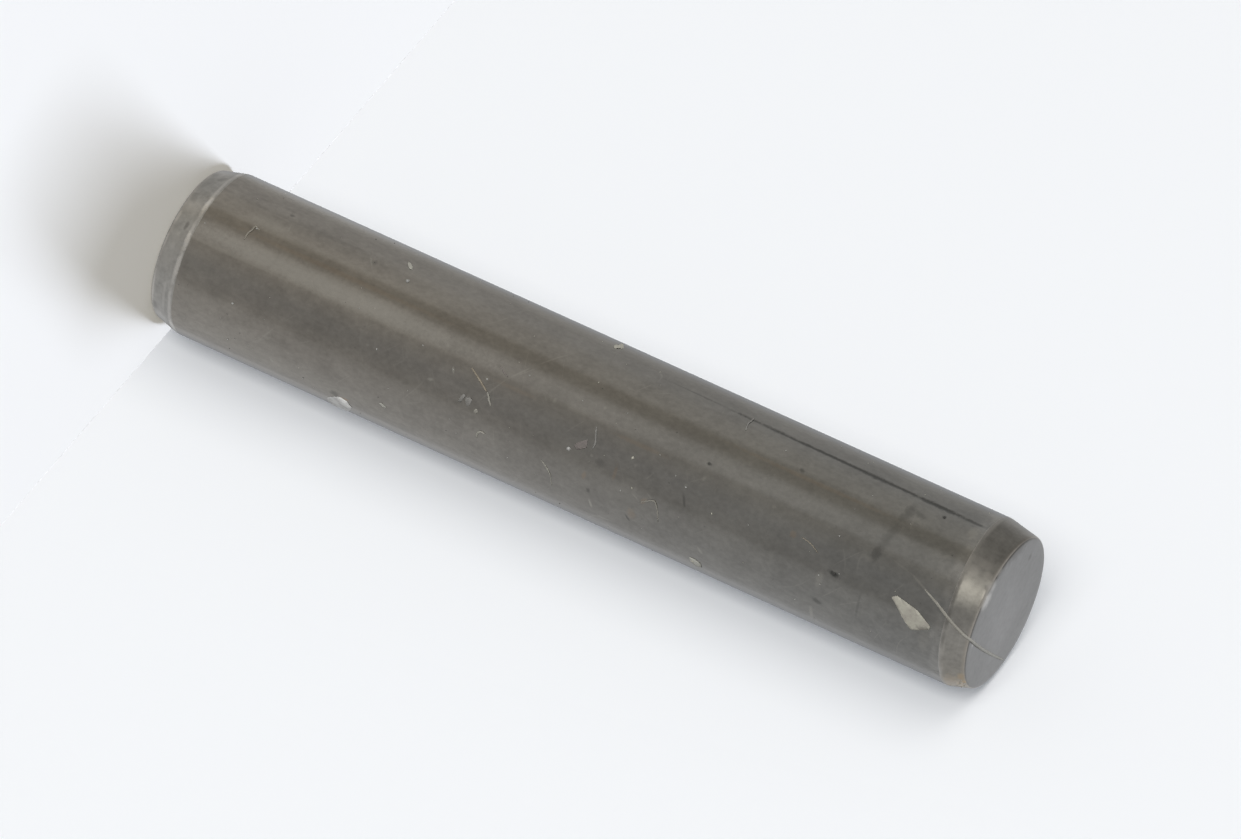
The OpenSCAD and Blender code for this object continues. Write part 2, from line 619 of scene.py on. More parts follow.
def makeBarrelSteel(finish):
    material, tree, shader = newMaterial("groundBarrelSteel")
    # painted reflection in part: the steel turns lighter, and browner, towards the lower end, where the
    # mirrored bands read lighter
    rise = stepped(tree, objectPlace(tree, "Z"), 0.0, pinLength)
    steel = mixed(tree, rise, finish["lowerSteel"], finish["upperSteel"])
    cloudy = useGroup(tree, mottle, **finish["clouds"])
    broad = stepped(tree, noiseAt(tree, finish["broadScale"], detail=3), 0.3, 0.7, *finish["broadShade"])
    grinding = useGroup(tree, toolMarks, **finish["grinding"])
    for shade in (cloudy["Shade"], broad, grinding["Shade"]):
        steel = shaded(tree, steel, shade)
    dust = useGroup(tree, dustFilm, **finish["dust"])["Mask"]
    filmAndPaintedLight = calc(tree, "MULTIPLY", dust, finish["dustShare"])
    filmAndPaintedLight = calc(tree, "MAXIMUM", filmAndPaintedLight, markMask(tree, finish["filmAndPaintedLightMarks"]))
    for lean, share in finish["hairLeans"]:
        hairs = useGroup(tree, hairScratches, Lean=lean, **finish["hairs"])["Mask"]
        filmAndPaintedLight = calc(tree, "MAXIMUM", filmAndPaintedLight, calc(tree, "MULTIPLY", hairs, share))
    # the film includes painted reflection: long bands that lighten mirrored bands
    steel = mixed(tree, filmAndPaintedLight, steel, finish["filmAndPaintedLight"])
    steel = mixed(tree, markMask(tree, finish["rustMarks"]), steel, finish["rust"])
    # rubbed shoulders, with painted highlights by the upper shoulder and a painted lighter band low on the
    # barrel
    steel = mixed(tree, shoulderRubAndHighlight(tree), steel, finish["rubbedAndPaintedHighlight"])
    # dark specks and the scratch, with painted shade in long bands and by the upper shoulder
    sootAndPaintedShade = markMask(tree, finish["sootAndPaintedShadeMarks"])
    steel = mixed(tree, sootAndPaintedShade, steel, finish["sootAndPaintedShade"])
    dirt = calc(tree, "MAXIMUM", filmAndPaintedLight, sootAndPaintedShade)
    roughness = stepped(tree, dirt, 0.0, 0.7, finish["roughness"], finish["dirtyRoughness"])
    relief = calc(tree, "ADD", calc(tree, "MULTIPLY", grinding["Height"], 0.5), cloudy["Height"])
    setSurface(tree, shader, steel, 1.0, roughness, relief, finish["bump"])
    return material


chamferFinish = {
    "steel": paint(0.330, 0.322, 0.304),
    "rubbedAndPaintedHighlight": paint(0.56, 0.54, 0.51),
    "rim": paint(0.46, 0.42, 0.375),
    "sootAndPaintedShade": paint(0.10, 0.095, 0.088),
    "rust": paint(0.49, 0.385, 0.26),
    "turning": {"Around": 700.0, "Along": 26000.0, "Contrast": 0.16},
    "clouds": {"Patch": (3400, 3400, 4500), "Patchy": 0.60, "Grain": (14000, 14000, 11000), "Grainy": 0.40},
    "rims": ((0.02 * mm, 0.35), (pinLength - 0.02 * mm, 0.30)),  # height, share that is missing
    "rimBand": {"Width": 0.06 * mm, "Ragged": 0.05 * mm},
    "rimShare": 0.35,
    "roughness": 0.33,
    "rubbedRoughness": 0.24,
    "bump": {"Strength": 0.4, "Distance": 0.002 * mm},
    # the marks along the upper shoulder and the broad one on the upper chamfer are painted shade; the
    # others are dark specks
    "sootAndPaintedShadeMarks": (
        (-10, 0.3, 0.1, 0.05, 0, 0.5),
        (20, 15.72, 0.1, 0.14, 20, 0.25),
        (-44, 0.22, 0.38, 0.25, 0, 0.26),
        (-56, 0.3, 0.14, 0.09, 30, 0.4),
        (-33, 0.12, 0.16, 0.09, -20, 0.3),
        (-62, 0.1, 0.12, 0.07, 0, 0.35),
        (44, 0.22, 0.3, 0.2, 0, 0.12),
        (58, 0.1, 0.16, 0.06, 0, 0.35),
        (-8, 0.15, 0.12, 0.12, 0, 0.22),
        (-64, 15.74, 0.3, 0.3, 0, 0.12),
        (-70, 15.45, 0.4, 0.05, -1.3, 0.12),
        (1, 15.525, 0.36, 0.05, -3.8, 0.42),
        (18, 15.55, 0.26, 0.05, -3.6, 0.45),
        (33, 15.575, 0.22, 0.04, -3.2, 0.3),
        (150, 0.25, 0.2, 0.08, 0, 0.3),
    ),
    "rustMarks": (
        (77, 15.78, 0.36, 0.24, 0, 0.3),
        (80, 15.88, 0.26, 0.1, 0, 0.5),
        (84, 15.68, 0.1, 0.08, 0, 0.6),
        (66, 15.93, 0.16, 0.08, 0, 0.6),
        (73, 15.96, 0.1, 0.05, 0, 0.8),
    ),
    # the marks on the upper chamfer, along its shoulder and at its rim near the front are painted highlight
    # round the glint; the others lighten lines and patches of the steel
    "rubbedAndPaintedHighlightMarks": (
        (-8, 15.6, 0.15, 0.065, 0, 0.16),
        (-10, 15.96, 0.26, 0.055, 0, 0.34),
        (-17, 15.62, 0.14, 0.12, 20, 0.42),
        (-25, 15.7, 0.12, 0.22, 0, 0.34),
        (-18, 15.86, 0.09, 0.12, 10, 0.35),
        (76, 15.7, 0.3, 0.2, 0, 0.16),
        (5, 0.04, 0.16, 0.035, 0, 0.6),
        (45, 0.04, 0.4, 0.035, 0, 0.5),
        (45, 0.3, 0.45, 0.035, 0, 0.25),
        (12, 0.2, 0.34, 0.22, 0, 0.28),
        (-24, 0.22, 0.22, 0.2, 0, 0.26),
        (-73, 0.2, 0.3, 0.25, 0, 0.42),
        (70, 0.2, 0.2, 0.22, 0, 0.44),
        (0, 0.2, 0.14, 0.2, 0, 0.12),
        (-14, 0.05, 0.16, 0.05, 0, 0.45),
        (-56, 15.455, 0.5, 0.04, -2, 0.35),
        (-25, 15.5, 0.1, 0.09, 0, 0.3),
        (-19, 15.5, 0.22, 0.05, -3.6, 0.3),
        (78, 15.88, 0.24, 0.12, 0, 0.35),
    ),
}


def makeChamferSteel(finish):
    material, tree, shader = newMaterial("turnedChamferSteel")
    turning = useGroup(tree, toolMarks, **finish["turning"])
    steel = shaded(tree, finish["steel"], turning["Shade"])
    cloudy = useGroup(tree, mottle, **finish["clouds"])
    steel = shaded(tree, steel, cloudy["Shade"])
    rims = strongest(tree, (
        useGroup(tree, edgeRub, Height=height, Missing=missing, **finish["rimBand"])["Mask"]
        for height, missing in finish["rims"]
    ))
    steel = mixed(tree, calc(tree, "MULTIPLY", rims, finish["rimShare"]), steel, finish["rim"])
    # rubbed wear, and painted highlights on the upper chamfer and its rim round the glint
    rubAndPaintedHighlight = calc(tree, "MAXIMUM", shoulderRubAndHighlight(tree), markMask(tree, finish["rubbedAndPaintedHighlightMarks"]))
    steel = mixed(tree, rubAndPaintedHighlight, steel, finish["rubbedAndPaintedHighlight"])
    # rust and dark specks, and painted shade along the upper shoulder
    for dirt in ("rust", "sootAndPaintedShade"):
        steel = mixed(tree, markMask(tree, finish[dirt + "Marks"]), steel, finish[dirt])
    roughness = stepped(tree, rubAndPaintedHighlight, 0.0, 1.0, finish["roughness"], finish["rubbedRoughness"])
    relief = calc(tree, "ADD", turning["Height"], cloudy["Height"])
    setSurface(tree, shader, steel, 1.0, roughness, relief, finish["bump"])
    return material


faceFinish = {
    "steel": paint(0.201, 0.200, 0.198),
    "worn": paint(0.235, 0.233, 0.233),
    "sootAndPaintedShade": paint(0.09, 0.085, 0.08),
    "rubbedAndPaintedHighlight": paint(0.54, 0.53, 0.51),
    "wornMiddle": {"centre": (0.1, 0.05), "reach": (0.1, 1.1), "share": 1.0},  # in mm
    "darkSpot": {"centre": (-1.03, -0.03), "reach": (0.02, 0.09), "share": 0.6},
    "clouds": {"Patch": (1700, 1700, 1700), "Patchy": 0.16, "Grain": (9000, 9000, 9000), "Grainy": 0.16},
    "hairs": {"Spread": (900, 900, 900), "Lean": 0.2, "Thin": 0.008, "Cover": 0.5},
    "hairShare": 0.25,
    "roughness": (0.36, 0.26),
    "bump": {"Strength": 0.3, "Distance": 0.002 * mm},
    # painted shade just inside the rim, beside the dark part of the chamfer
    "paintedShadeEdge": (  # angle, radius, reach round and inwards in mm, strength
        (-50, 1.34, 0.55, 0.22, 0.55),
        (-28, 1.36, 0.3, 0.2, 0.4),
    ),
    # painted highlights just inside the rim, most of them where it faces the glint
    "paintedHighlightEdge": (
        (-3, 1.31, 0.22, 0.24, 0.78),
        (-14, 1.33, 0.14, 0.18, 0.48),
        (-5, 1.33, 0.07, 0.09, 1),
        (-26, 1.37, 0.12, 0.05, 0.35),
        (36, 1.18, 0.09, 0.05, 0.6),
    ),
}


def edgeMask(tree, marks):
    # the strongest of several soft marks on the upper face
    waver = swingAt(tree, 9000, detail=3, roughness=0.65)
    return strongest(tree, (
        useGroup(tree, softMark, Centre=atAngle(angle, radius * mm, pinLength), Turn=-math.radians(angle),
                 Reach=(around * mm, inward * mm, mm), Waver=waver, Strength=strength)["Mask"]
        for angle, radius, around, inward, strength in marks
    ))


def roundSpot(tree, spot):
    # a soft round spot on the upper face
    flat = vectorCalc(tree, "MULTIPLY", objectPlace(tree), (1 / mm, 1 / mm, 0))
    away = vectorCalc(tree, "DISTANCE", flat, (*spot["centre"], 0))
    return stepped(tree, away, *spot["reach"], spot["share"], 0.0)


def makeFaceSteel(finish):
    material, tree, shader = newMaterial("groundFaceSteel")
    steel = mixed(tree, roundSpot(tree, finish["wornMiddle"]), finish["steel"], finish["worn"])
    cloudy = useGroup(tree, mottle, **finish["clouds"])
    steel = shaded(tree, steel, cloudy["Shade"])
    steel = mixed(tree, roundSpot(tree, finish["darkSpot"]), steel, finish["sootAndPaintedShade"])
    hairs = useGroup(tree, hairScratches, **finish["hairs"])["Mask"]
    hairs = calc(tree, "MULTIPLY", hairs, finish["hairShare"])
    # hairlines, and painted shade just inside the rim
    hairsAndPaintedShade = calc(tree, "MAXIMUM", hairs, edgeMask(tree, finish["paintedShadeEdge"]))
    steel = mixed(tree, hairsAndPaintedShade, steel, finish["sootAndPaintedShade"])
    # painted highlights near the rim
    steel = mixed(tree, edgeMask(tree, finish["paintedHighlightEdge"]), steel, finish["rubbedAndPaintedHighlight"])
    roughness = stepped(tree, cloudy["Shade"], 0.85, 1.15, *finish["roughness"])
    setSurface(tree, shader, steel, 1.0, roughness, cloudy["Height"], finish["bump"])
    return material


steels = (makeBarrelSteel(barrelFinish), makeChamferSteel(chamferFinish), makeFaceSteel(faceFinish))
dowelPin = makePin(steels)
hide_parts("dowel_pin")
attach(dowelPin, "root")
print("pin made:", len(dowelPin.data.polygons), "faces")


dirtSetup = {
    "golden": {"colour": paint(0.250, 0.222, 0.176), "dark": paint(0.20, 0.174, 0.136), "roughness": 0.6},
    "tan": {"colour": paint(0.232, 0.214, 0.182), "dark": paint(0.19, 0.175, 0.148), "roughness": 0.65},
    "pale": {"colour": paint(0.225, 0.220, 0.208), "dark": paint(0.17, 0.166, 0.157), "roughness": 0.65},
    "lint": {"colour": paint(0.285, 0.277, 0.248), "dark": paint(0.235, 0.226, 0.20), "roughness": 0.75},
    "white": {"colour": paint(0.42, 0.42, 0.41), "dark": paint(0.30, 0.30, 0.29), "roughness": 0.7},
    # lighter than the flake's own white, for the little light that reaches it low on the side: painted
    # light
    "chalk": {"colour": paint(0.90, 0.91, 0.90), "dark": paint(0.66, 0.66, 0.66), "roughness": 0.8},
    "bright": {"colour": paint(0.60, 0.60, 0.55), "dark": paint(0.45, 0.45, 0.41), "roughness": 0.7},
    # a lint colour raised for fibres low on the side, where the lamps fall off: painted light
    "straw": {"colour": paint(0.355, 0.35, 0.31), "dark": paint(0.31, 0.30, 0.27), "roughness": 0.6},
    "cream": {"colour": paint(0.41, 0.40, 0.345), "dark": paint(0.33, 0.31, 0.275), "roughness": 0.55},
    "grey": {"colour": paint(0.180, 0.160, 0.152), "dark": paint(0.145, 0.132, 0.126), "roughness": 0.6},
    "dark": {"colour": paint(0.060, 0.056, 0.054), "dark": paint(0.03, 0.03, 0.03), "roughness": 0.7},
}
dirtBump = {"Strength": 0.3, "Distance": 0.004 * mm}


def makeDirt(name, setup):
    material, tree, shader = newMaterial(name + "Dirt")
    patches = stepped(tree, noiseAt(tree, 6000, detail=4, roughness=0.65), 0.35, 0.62)
    colour = mixed(tree, patches, setup["dark"], setup["colour"])
    setSurface(tree, shader, colour, 0.0, setup["roughness"], patches, dirtBump)
    return material


dirtFinish = {name: makeDirt(name, setup) for name, setup in dirtSetup.items()}


def addDirt(name, mesh, finish):
    bmesh.ops.recalc_face_normals(mesh, faces=mesh.faces)
    for face in mesh.faces:
        face.smooth = True
    piece = addMesh(name, mesh, (dirtFinish[finish],))
    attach(piece, "root")


def onFace(x, y, lift=0.0):
    return Vector((x * mm, y * mm, pinLength + lift * mm))


# each fibre: points as angle, height, lift over the steel; thickness in mm
lintFibres = {
    "hookedLint": {"finish": "tan", "thick": 0.034, "points": (
        (-17.2, 1.36, 0), (-20, 1.355, 0.02), (-22.6, 1.36, 0.02), (-25, 1.39, 0.02),
        (-27.4, 1.395, 0.02), (-28.9, 1.4, 0.02), (-28.3, 1.45, 0.02), (-27.3, 1.51, 0))},
    "goldenLint": {"finish": "golden", "thick": 0.038, "points": (
        (-1.8, 6.09, 0.01), (0.6, 6.2, 0.03), (3.4, 6.32, 0.03), (6, 6.42, 0.03), (8, 6.5, 0.02))},
    "paleLint": {"finish": "lint", "thick": 0.040, "points": (
        (8.2, 6.52, 0.03), (10.5, 6.57, 0.03), (13, 6.6, 0.03), (15.6, 6.66, 0.01))},
    "branchLint": {"finish": "grey", "thick": 0.022, "points": (
        (-10.6, 6.53, 0.01), (-9, 6.6, 0.03), (-7.4, 6.66, 0.03), (-6.2, 6.74, 0.01))},
    "curledLint": {"finish": "straw", "thick": 0.034, "points": (
        (41, 6.555, 0.01), (39, 6.55, 0.03), (37, 6.56, 0.03), (35.4, 6.6, 0.03), (35.2, 6.65, 0.02),
        (36, 6.69, 0.01))},
    "shortLint": {"finish": "pale", "thick": 0.034, "points": (
        (-0.5, 8.55, 0.01), (3, 8.59, 0.03), (6.5, 8.62, 0.03), (9.5, 8.66, 0.03), (13.5, 8.63, 0.01))},
    "archedLint": {"finish": "lint", "thick": 0.024, "points": (
        (34, 9.72, 0.01), (31.5, 9.82, 0.02), (29, 9.92, 0.04), (28.4, 9.98, 0.04), (31, 10.03, 0.03),
        (36, 10.08, 0.02), (42.5, 10.11, 0.01))},
    "seamLint": {"finish": "pale", "thick": 0.030, "points": (
        (-56, 10.82, 0.01), (-52, 10.83, 0.03), (-48, 10.81, 0.03), (-44.5, 10.84, 0.02),
        (-42, 10.86, 0.01))},
    "warmLint": {"finish": "golden", "thick": 0.016, "points": (
        (9.5, 12.66, 0.01), (10, 12.78, 0.02), (11.5, 12.9, 0.02), (14.5, 13.02, 0.01))},
    "lowLint": {"finish": "straw", "thick": 0.018, "points": (
        (36, 7.8, 0.01), (39, 7.9, 0.02), (42.5, 7.99, 0.02), (47, 8.03, 0.02),
        (53, 8.05, 0.01))},
}


def drawFibre(name, places, thick, finish):
    # a round thread through the places, drawn as a curve and then made a mesh
    curve = bpy.data.curves.new(name + "Curve", "CURVE")
    curve.dimensions = "3D"
    curve.bevel_depth = thick * mm / 2
    curve.bevel_resolution = 2
    curve.resolution_u = 5
    curve.use_fill_caps = True
    spline = curve.splines.new("NURBS")
    spline.points.add(len(places) - 1)
    spline.order_u = 3
    spline.use_endpoint_u = True
    for index, (point, place) in enumerate(zip(spline.points, places)):
        point.co = (*place, 1.0)
        point.radius = 0.6 if index in (0, len(places) - 1) else 1.0  # the ends are thinner
    drawn = addObject(name + "Curve", curve)
    mesh = bmesh.new()
    mesh.from_mesh(bpy.data.meshes.new_from_object(drawn))
    bpy.data.objects.remove(drawn)
    bpy.data.curves.remove(curve)
    bmesh.ops.remove_doubles(mesh, verts=mesh.verts, dist=mergeReach)
    addDirt(name, mesh, finish)


keptLift = 0.2  # the fibres sit half sunk in the oil film, or the steel would mirror their dark sides
for fibreName, fibre in lintFibres.items():
    fibrePlaces = [onPin(angle, height, lift * keptLift) for angle, height, lift in fibre["points"]]
    drawFibre(fibreName, fibrePlaces, fibre["thick"], fibre["finish"])

longLint = {
    "finish": "lint",
    "thick": 0.060,
    "onBarrel": (  # angle, height, lift
        (4.9, 14.88, -0.03), (7.2, 15, -0.026), (9.8, 15.15, -0.022), (12.6, 15.3, -0.017),
        (14.8, 15.41, -0.01), (17.1, 15.52, 0), (20.6, 15.66, 0.002), (23.6, 15.79, 0.006),
        (26.4, 15.92, 0.012)),
    "onFace": (  # x, y, lift
        (0.645, -1.17, 0.016), (0.663, -1, 0.01), (0.696, -0.55, 0.006), (0.718, -0.08, 0.006),
        (0.73, 0.44, 0.004), (0.73, 0.97, 0)),
}
longPlaces = [onPin(*point) for point in longLint["onBarrel"]]
longPlaces += [onFace(*point) for point in longLint["onFace"]]
drawFibre("longLint", longPlaces, longLint["thick"], longLint["finish"])
print("lint laid")


# each flake: corners as angle and height, how far it stands off, its thickness and its crumples in mm
crumpleScale = 7 / mm
stoutFlake = {"lift": -0.004, "thick": 0.010, "crumple": 0.004}
thinFlake = {"lift": -0.003, "thick": 0.006, "crumple": 0.003}
flakes = {
    "creamFlake": {"finish": "cream", **stoutFlake, "corners": (
        (20.8, 14.5), (18.4, 14.59), (19.6, 14.74), (21.9, 15.01), (25.4, 15.17), (28.8, 15.31),
        (31, 15.295), (34, 15.15), (36.8, 14.98), (34.6, 14.9), (30.8, 14.79), (27, 14.69),
        (24.2, 14.6))},
    "edgeFlake": {"finish": "chalk", **stoutFlake, "lift": -0.006, "thick": 0.012, "corners": (
        (88, 3.6), (80, 3.53), (71.5, 3.57), (66, 3.71), (62.5, 3.85), (64, 3.98), (70.5, 4.06),
        (78, 3.98), (86, 3.84))},
    "yellowFlake": {"finish": "bright", **stoutFlake, "corners": (
        (63, 10.74), (62.5, 10.84), (65, 10.95), (70, 10.96), (71.5, 10.85), (68, 10.74))},
    "pinkFlake": {"finish": "grey", **thinFlake, "thick": 0.005, "corners": (
        (17, 8.3), (14, 8.34), (10, 8.46), (9.4, 8.5), (14.5, 8.53), (16.5, 8.44), (18.5, 8.38))},
    "arcFlake": {"finish": "pale", **thinFlake, "corners": (
        (22, 6.07), (18, 6.09), (15.4, 6.13), (16.2, 6.18), (18.2, 6.14), (21.8, 6.12))},
    "tuftFlake": {"finish": "pale", **thinFlake, "corners": (
        (17.2, 6.18), (15.9, 6.25), (17, 6.31), (20.5, 6.3), (22.8, 6.25), (19.8, 6.2))},
    "dotFlake": {"finish": "lint", **thinFlake, "corners": (
        (21.8, 6.4), (21.4, 6.45), (23.2, 6.47), (25.2, 6.44), (24, 6.39))},
    "upperFlake": {"finish": "cream", **thinFlake, "corners": (
        (-66.4, 7.93), (-70.4, 7.915), (-72.6, 7.955), (-79, 7.925), (-80.5, 7.955), (-70, 8.075),
        (-67.2, 8.065), (-69.3, 8.015), (-65.1, 8), (-64.4, 7.97))},
    "slantFlake": {"finish": "straw", **thinFlake, "corners": (
        (-56, 4.02), (-55.6, 4.08), (-52.6, 4.16), (-50.2, 4.19), (-49.8, 4.14), (-52.8, 4.06))},
    "rowFlake": {"finish": "bright", **thinFlake, "corners": (
        (50, 4.645), (48.8, 4.67), (49.3, 4.73), (50.6, 4.78), (52, 4.765), (51.3, 4.7))},
}


def layOnPin(verts, setup, extra):
    # lays points on the round of the pin, a little crumpled
    for vert in verts:
        height = vert.co.z / mm
        angle = math.degrees(math.atan2(vert.co.x, -vert.co.y))
        crumple = setup["crumple"] * (1 + noise.noise(onPin(angle, height) * crumpleScale))
        vert.co = onPin(angle, height, setup["lift"] + crumple + extra)


def makeFlake(name, setup):
    mesh = bmesh.new()
    corners = [mesh.verts.new(onPin(angle, height)) for angle, height in setup["corners"]]
    mesh.faces.new(corners)
    bmesh.ops.triangulate(mesh, faces=mesh.faces[:])
    for step in range(2):
        bmesh.ops.subdivide_edges(mesh, edges=mesh.edges[:], cuts=1, use_grid_fill=True)
    under = mesh.faces[:]
    raised = bmesh.ops.extrude_face_region(mesh, geom=under, use_keep_orig=True)["geom"]
    layOnPin([item for item in raised if isinstance(item, bmesh.types.BMVert)], setup, setup["thick"])
    layOnPin({vert for face in under for vert in face.verts}, setup, 0.0)
    addDirt(name, mesh, setup["finish"])


for flakeName, flake in flakes.items():
    makeFlake(flakeName, flake)
print("flakes laid")


# loose grains: angle, height, radius in mm; the scattered ones come from a seed
grains = {
    "whiteGrains": {"finish": "white", "placed": (
        (20, 8.23, 0.044), (4, 5.79, 0.012), (0.5, 6.42, 0.015), (-39, 4.27, 0.036),
        (25, 1.62, 0.022), (12.6, 4.38, 0.016), (32, 9.33, 0.016), (60, 3.12, 0.022),
        (34, 13.22, 0.02), (-27.8, 1.45, 0.018), (11, 10.43, 0.016), (55, 1.62, 0.02),
        (28, 13.16, 0.018)),
        "count": 90, "sizes": (0.005, 0.013), "seed": 11},
    "yellowGrains": {"finish": "cream", "placed": (
        (8, 9.36, 0.03), (20, 11.02, 0.018), (27, 9.52, 0.018), (66, 10.8, 0.03)),
        "count": 60, "sizes": (0.005, 0.012), "seed": 23},
    "goldenGrains": {"finish": "cream", "placed": (
        (71, 15.93, 0.02), (74.5, 15.9, 0.028), (76, 15.96, 0.022), (79, 15.87, 0.03),
        (82, 15.93, 0.024), (84, 15.8, 0.022), (81, 15.72, 0.018), (86, 15.68, 0.024),
        (77.5, 15.8, 0.014), (88, 15.85, 0.02)),
        "count": 30, "sizes": (0.005, 0.010), "seed": 5},
    "darkGrains": {"finish": "dark", "placed": (
        (-9, 10.64, 0.02), (23, 13.42, 0.026), (22, 13.36, 0.018), (-44, 14.67, 0.022),
        (-42, 3.57, 0.01)),
        "count": 70, "sizes": (0.005, 0.011), "seed": 37},
}
grainHeights = (0.2, 15.8)  # the span of heights that the scattered ones fall in


def makeGrains(name, setup):
    chance = random.Random(setup["seed"])
    spans = ((-180, 180), grainHeights, setup["sizes"])
    placed = list(setup["placed"])
    placed += [[chance.uniform(*span) for span in spans] for index in range(setup["count"])]
    mesh = bmesh.new()
    for angle, height, radius in placed:
        spot = Matrix.Translation(onPin(angle, height))
        tilt = Matrix.Rotation(chance.uniform(0, math.tau), 4, (chance.random(), chance.random(), 1))
        squeeze = [chance.uniform(*span) for span in ((0.7, 1.2), (0.6, 1.0), (0.7, 1.4))]
        shape = spot @ tilt @ Matrix.Diagonal((*squeeze, 1))
        bmesh.ops.create_icosphere(mesh, subdivisions=1, radius=radius * mm, matrix=shape)
    addDirt(name, mesh, setup["finish"])


for grainName, grainSetup in grains.items():
    makeGrains(grainName, grainSetup)
print("grains scattered")


stageSetup = {
    "paper": paint(0.905, 0.915, 0.935),
    "floorSize": 700 * mm,
    "boardAngle": 140,        # the card board touches the pin here, out of the camera's sight
    "boardSize": 400 * mm,
    "glow": 0.14,             # share of even light that the camera sees in the paper
    "floorGlow": paint(1.01, 0.91, 0.66),
    "boardGlow": paint(0.94, 1.05, 1.21),
}


def makePaper(name, setup, glowColour, oneSided):
    material, tree, shader = newMaterial(name)
    tree.nodes.remove(shader["Base Color"].node)
    diffuse = newNode(tree, "BsdfDiffuse", {"Color": setup["paper"]}).outputs[0]
    glow = newNode(tree, "Emission", {"Color": glowColour, "Strength": 1.0}).outputs[0]
    seen = newNode(tree, "LightPath").outputs["Is Camera Ray"]
    share = calc(tree, "MULTIPLY", seen, setup["glow"])
    surface = newNode(tree, "MixShader", {0: share, 1: diffuse, 2: glow}).outputs[0]
    if oneSided:
        # from behind, the sheet isn't there
        behind = newNode(tree, "NewGeometry").outputs["Backfacing"]
        clear = newNode(tree, "BsdfTransparent").outputs[0]
        surface = newNode(tree, "MixShader", {0: behind, 1: surface, 2: clear}).outputs[0]
    plug(tree, surface, tree.nodes["Material Output"].inputs["Surface"])
    return material


def makeSheet(name, width, height, place, material):
    mesh = bmesh.new()
    shape = place @ Matrix.Diagonal((width, height, 1, 1))
    bmesh.ops.create_grid(mesh, x_segments=1, y_segments=1, size=0.5, matrix=shape)
    sheet = addMesh(name, mesh, (material,))
    # the sheets take the pin's shadow, but they don't light it, shade it or show in the steel
    sheet.visible_glossy = False
    sheet.visible_diffuse = False
    sheet.visible_shadow = False


def makeStage(setup):
    makeSheet("paleFloor", setup["floorSize"], setup["floorSize"], Matrix(),
              makePaper("floorPaper", setup, setup["floorGlow"], False))
    towardsPin = atAngle(setup["boardAngle"] - 180, 1, 0)
    foot = atAngle(setup["boardAngle"], barrelRadius, setup["boardSize"] / 2)
    place = Matrix.Translation(foot) @ towardsPin.to_track_quat("Z", "Y").to_matrix().to_4x4()
    makeSheet("paleBoard", setup["boardSize"] * 2, setup["boardSize"], place,
              makePaper("boardPaper", setup, setup["boardGlow"], True))


softLamp = {"distance": 600 * mm, "roll": 0, "colour": (1.0, 0.987, 0.957)}
lampSetup = {
    "front": {**softLamp, "azimuth": -7, "elevation": 6, "size": (270 * mm, 300 * mm), "light": 0.575},
    "side": {**softLamp, "azimuth": -48, "elevation": 10, "size": (510 * mm, 300 * mm), "light": 0.310},
    "overhead": {**softLamp, "azimuth": 182.5, "elevation": 72.5, "size": (49 * mm, 225 * mm),
                 "roll": -13.3, "light": 0.74, "colour": (0.86, 0.905, 1.0)},
}


def makeLamp(name, setup):
    data = bpy.data.lights.new(name, "AREA")
    data.shape = "RECTANGLE"
    data.size, data.size_y = setup["size"]
    data.color = setup["colour"]
    elevation = math.radians(setup["elevation"])
    towards = atAngle(setup["azimuth"], math.cos(elevation), math.sin(elevation))
    # light is what the lamp adds to a white card that faces it, where 1 shows as white
    data.energy = setup["light"] * (math.pi * setup["distance"]) ** 2
    lamp = addObject(name, data)
    lamp.location = pinMiddle + towards * setup["distance"]
    lamp.rotation_mode = "QUATERNION"
    roll = Quaternion((0, 0, 1), math.radians(setup["roll"]))
    lamp.rotation_quaternion = towards.to_track_quat("Z", "Y") @ roll
    lamp.visible_glossy = False  # the steel mirrors the room instead
    lamp.visible_camera = False


studioRoom = {
    "background": paint(0.885, 0.896, 0.925),
    "fill": paint(0.30, 0.30, 0.30),
    "warmth": (0.05, -0.09),    # what a warmth of 1 adds to the red and to the blue
    "horizon": (-0.27, -0.09),  # rise, in radians, over which the lower band gives way to the upper one
    "ceiling": (0.3, 0.75),     # and the upper one to the zenith
    "below": (  # what the metal sees: degrees from the front towards +X, level, warmth
        (-180, 0.34, -0.5), (-172, 0.39, -0.5), (-163, 0.46, -0.5), (-152, 0.53, -0.2), (-138, 0.61, 0.3),
        (-124, 0.63, 0.3), (-112, 0.68, 0.2), (-100, 0.72, 0.2), (-84, 0.73, 0.5), (-65, 0.73, 0.7),
        (-60, 0.68, 0.9), (-56, 0.55, 1.2), (-47, 0.53, 1.2), (-40, 0.58, 1), (-36, 0.71, 0.7),
        (-27, 0.82, 0.5), (-14, 0.79, 0.5), (-9, 0.7, 0.7), (-6, 0.6, 0.7), (20, 0.585, 0.2),
        (50, 0.57, 0.3), (54, 0.65, 0.2), (62, 0.72, 0.1), (96, 0.8, -0.1), (120, 0.8, -0.1),
        (130, 0.74, -0.1), (144, 0.74, -0.2), (151, 0.62, -0.3), (160, 0.45, -0.4), (171, 0.3, -0.5),
        (180, 0.34, -0.5),
    ),
    "above": (
        (-180, 0.84, -0.3), (-158, 0.72, 0), (-136, 0.36, 0.4), (-112, 0.25, 0.8), (-84, 0.23, 0.8),
        (-62, 0.28, 0.8), (-40, 0.4, 0.8), (8, 0.36, 0.3), (30, 0.34, 0.4), (44, 0.58, 0.3),
        (64, 0.6, 0.3), (90, 0.56, 0.3), (130, 0.56, 0.6), (158, 0.76, 0), (180, 0.84, -0.3),
    ),
    "zenith": paint(0.67, 0.66, 0.64),
    "glint": {"colour": paint(2.3, 2.22, 2.0), "azimuth": -9, "elevation": 11, "halfWidth": 24,
              "halfHeight": 9, "core": 0.4},  # the core is the share of it that is evenly bright
}


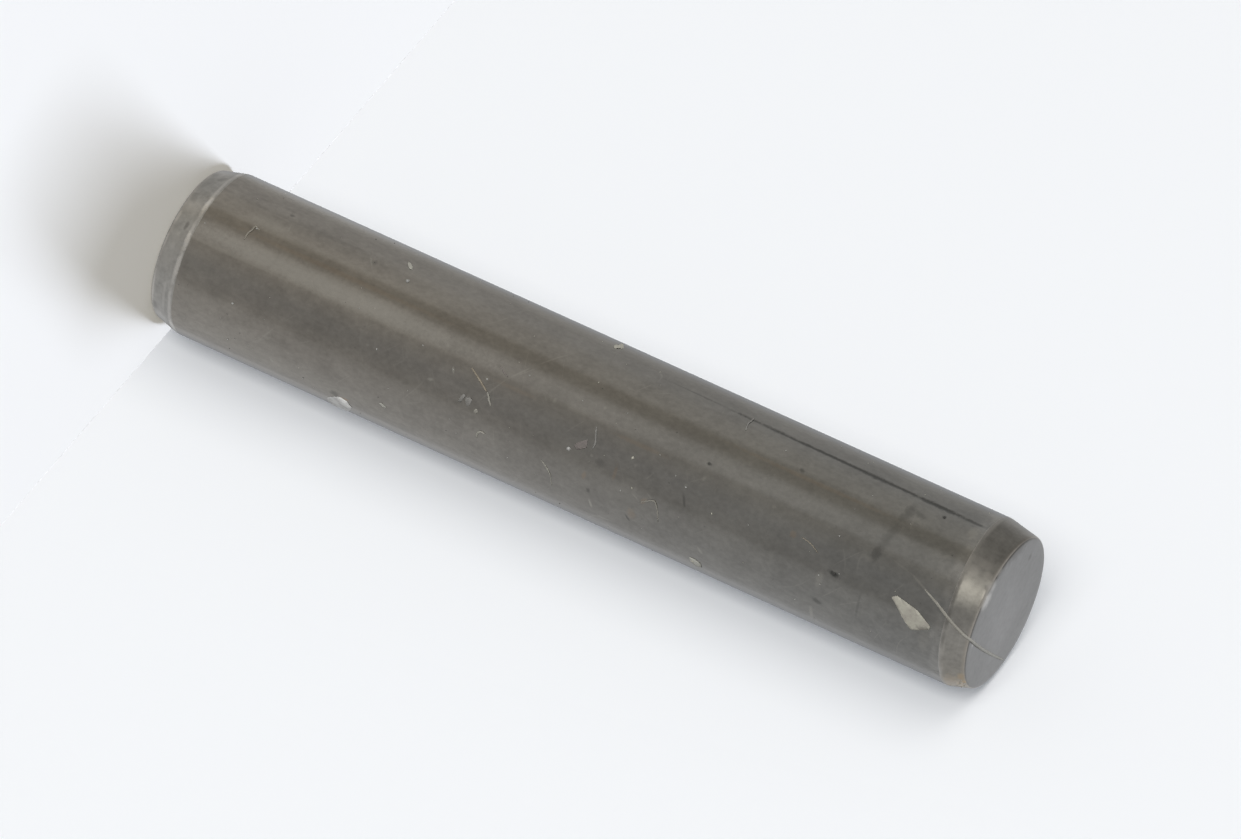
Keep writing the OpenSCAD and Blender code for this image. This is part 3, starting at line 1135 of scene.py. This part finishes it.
def roundBand(tree, azimuth, stops, warmth):
    ramp = newNode(tree, "ValToRGB", {"Fac": azimuth})
    stopsMade = ramp.color_ramp.elements
    while len(stopsMade) < len(stops):
        stopsMade.new(0.5)
    for made, stop in zip(stopsMade, stops):
        made.position = stop[0] / 360 + 0.5
    for made, stop in zip(stopsMade, stops):
        red, blue = (stop[1] * (1 + shift * stop[2]) for shift in warmth)
        made.color = paint(red, stop[1], blue)
    return ramp.outputs["Color"]


def pastMiddle(tree, value, middle, reach):
    # how far an angle is from the middle, where 1 is its whole reach
    return calc(tree, "DIVIDE", calc(tree, "SUBTRACT", value, math.radians(middle)), math.radians(reach))


def makeWorld(room):
    world = bpy.data.worlds.new("studioRoom")
    world.use_nodes = True
    bpy.context.scene.world = world
    tree = world.node_tree
    direction = newNode(tree, "TexCoord").outputs["Generated"]
    x, y, z = newNode(tree, "SeparateXYZ", {0: direction}).outputs
    turn = calc(tree, "ARCTAN2", x, calc(tree, "MULTIPLY", y, -1.0))
    azimuth = calc(tree, "MULTIPLY_ADD", turn, 1 / math.tau, 0.5)
    rise = calc(tree, "ARCSINE", z)
    below, above = (roundBand(tree, azimuth, room[band], room["warmth"]) for band in ("below", "above"))
    seen = mixed(tree, stepped(tree, rise, *room["horizon"]), below, above)
    seen = mixed(tree, stepped(tree, rise, *room["ceiling"]), seen, room["zenith"])
    glint = room["glint"]
    across = pastMiddle(tree, turn, glint["azimuth"], glint["halfWidth"])
    upward = pastMiddle(tree, rise, glint["elevation"], glint["halfHeight"])
    squares = [calc(tree, "MULTIPLY", part, part) for part in (across, upward)]
    away = calc(tree, "SQRT", calc(tree, "ADD", *squares))
    seen = mixed(tree, stepped(tree, away, glint["core"], 1.0, 1.0, 0.0), seen, glint["colour"])
    # only mirrored rays meet the room: the rest is an even fill, with a plain backdrop for the camera
    path = newNode(tree, "LightPath").outputs
    lit = mixed(tree, path["Is Glossy Ray"], room["fill"], seen)
    lit = mixed(tree, path["Is Camera Ray"], lit, room["background"])
    plug(tree, lit, tree.nodes["Background"].inputs["Color"])


makeStage(stageSetup)
for lampName, lampValues in lampSetup.items():
    makeLamp(lampName + "Lamp", lampValues)
makeWorld(studioRoom)
bpy.context.scene.view_settings.view_transform = "Standard"
print("stage and lights made")
